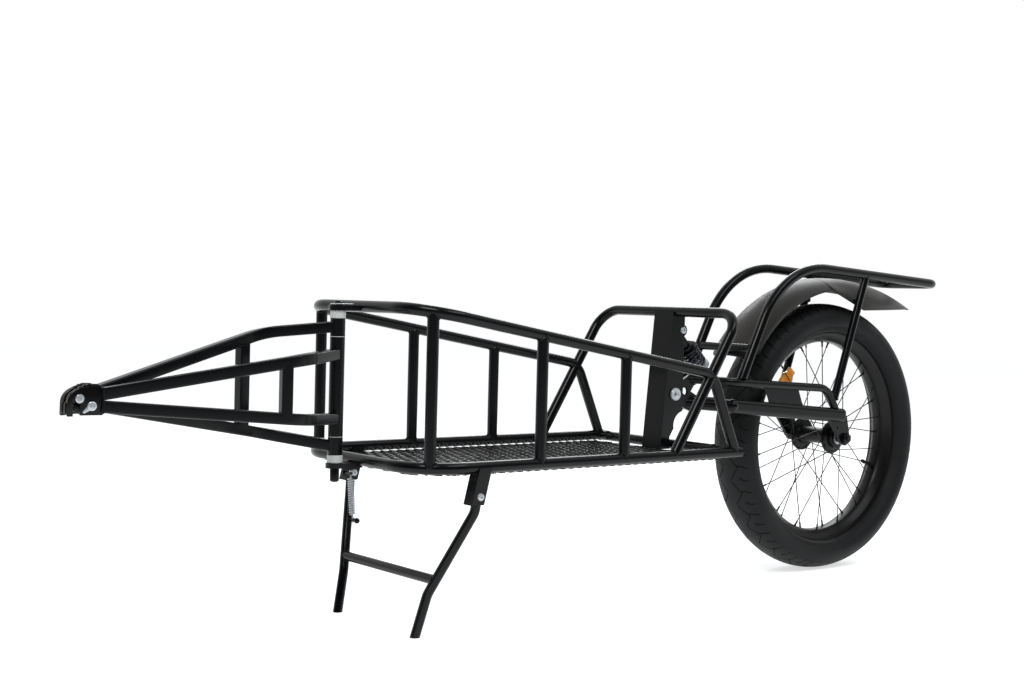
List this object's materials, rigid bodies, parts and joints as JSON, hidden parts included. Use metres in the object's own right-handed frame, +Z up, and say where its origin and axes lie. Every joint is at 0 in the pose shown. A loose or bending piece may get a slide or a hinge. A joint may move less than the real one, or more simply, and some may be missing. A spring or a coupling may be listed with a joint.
{
  "type": "single wheel touring trailer",
  "caption": "Black tube trailer for towing behind a bicycle: hinged two-arm fork, open cargo cage with mesh floor, sprung swingarm, fat wheel, fender, rack and folding stand.",
  "frame": {"origin": "on the floor, below the middle of the trailer's length and width", "axes": "+X towards the rear (the wheel), +Y towards the trailer's right-hand side, +Z up"},
  "size_m": [1.9263, 0.3976, 0.6235],
  "materials": {
    "frame_paint": "gloss",
    "floor_paint": "satin",
    "black_metal": "satin",
    "bushing": "matte",
    "zinc": "satin",
    "fender": "satin",
    "tyre": "matte",
    "spoke": "satin",
    "reflector": "gloss",
    "coil": "gloss"
  },
  "bodies": {
    "frame": {"upper_hoop": "frame_paint", "lower_hoop": "frame_paint", "rear_cross_tube": "frame_paint", "front_uprights": "frame_paint", "middle_uprights": "frame_paint", "rear_uprights": "frame_paint", "roll_hoop": "frame_paint", "centre_post": "frame_paint", "floor_mesh": "floor_paint", "hinge_lugs": "frame_paint", "hinge_bushes": "bushing", "hinge_pin": "black_metal", "pin_clip": "zinc", "stand_brackets": "frame_paint", "stand_bolts": "zinc", "pivot_bolt": "zinc", "shock_top_bolt": "zinc", "tie_down_eyes": "frame_paint"},
    "right_arm": {"right_knuckles": "frame_paint", "right_top_rail": "frame_paint", "right_bottom_rail": "frame_paint", "right_brace": "frame_paint", "right_hitch_head": "black_metal", "right_hitch_screws": "zinc"},
    "right_latch_lever": {"right_latch": "zinc"},
    "left_arm": {"left_knuckle": "frame_paint", "left_top_rail": "frame_paint", "left_bottom_rail": "frame_paint", "left_brace": "frame_paint", "left_hitch_head": "black_metal", "left_hitch_screws": "zinc"},
    "left_latch_lever": {"left_latch": "zinc"},
    "stand": {"stand_legs": "frame_paint", "stand_brace": "frame_paint", "stand_spring": "zinc"},
    "swingarm": {"swing_yoke": "frame_paint", "swing_bushes": "bushing", "lower_stays": "frame_paint", "upper_stays": "frame_paint", "stay_gussets": "frame_paint", "dropouts": "frame_paint", "shock_bridge": "frame_paint", "shock_low_bolt": "zinc", "rack_loop": "frame_paint", "rack_front_bar": "frame_paint", "rack_struts": "frame_paint", "fender_front": "fender", "fender_tail": "fender", "fender_mounts": "black_metal", "axle": "black_metal"},
    "wheel": {"tyre": "tyre", "rim": "black_metal", "spokes": "spoke", "hub": "black_metal", "hub_bearings": "zinc", "reflector": "reflector", "valve_stem": "black_metal"},
    "shock_upper": {"shock_body": "black_metal", "shock_coil": "coil"},
    "shock_lower": {"shock_shaft": "zinc"}
  },
  "joints": [
    {"name": "steer", "type": "hinge", "parent": "frame", "child": "right_arm", "pos_m": [-0.50134, 0, 0.39], "axis": [0, 0, 1], "range_deg": [-60, 60]},
    {"name": "spread", "type": "hinge", "parent": "right_arm", "child": "left_arm", "pos_m": [-0.50134, 0, 0.39], "axis": [0, 0, 1], "range_deg": [0, 24]},
    {"name": "right_latch_turn", "type": "hinge", "parent": "right_arm", "child": "right_latch_lever", "pos_m": [-0.91647, 0.01315, 0.371], "axis": [0.1644, -0.9864, 0], "range_deg": [0, 70], "stiffness_Nm_per_rad": 0.03, "springref_deg": -28.65},
    {"name": "left_latch_turn", "type": "hinge", "parent": "left_arm", "child": "left_latch_lever", "pos_m": [-0.91647, -0.01315, 0.371], "axis": [-0.1644, -0.9864, 0], "range_deg": [0, 70], "stiffness_Nm_per_rad": 0.03, "springref_deg": -28.65},
    {"name": "stand_fold", "type": "hinge", "parent": "frame", "child": "stand", "pos_m": [-0.35534, 0, 0.228], "axis": [0, -1, 0], "range_deg": [0, 95]},
    {"name": "swing", "type": "hinge", "parent": "frame", "child": "swingarm", "pos_m": [0.22566, 0, 0.367], "axis": [0, -1, 0], "range_deg": [0, 9], "stiffness_Nm_per_rad": 420, "springref_deg": -11.46},
    {"name": "wheel_spin", "type": "hinge", "parent": "swingarm", "child": "wheel", "pos_m": [0.66266, 0, 0.2725], "axis": [0, 1, 0], "continuous": true},
    {"name": "shock_turn", "type": "hinge", "parent": "frame", "child": "shock_upper", "pos_m": [0.24266, 0, 0.487], "axis": [0, -1, 0], "range_deg": [-0.01, 3.56]},
    {"name": "shock_slide", "type": "slide", "parent": "shock_upper", "child": "shock_lower", "axis": [0.7071, 0, -0.7071], "range_m": [-0.01558, 0], "deforming": ["shock_coil"]}
  ],
  "couplings": [
    {"joint": "shock_turn", "follows": "swing", "ratio": 0.39483},
    {"joint": "shock_slide", "follows": "swing", "m_per_rad": -0.099095}
  ]
}
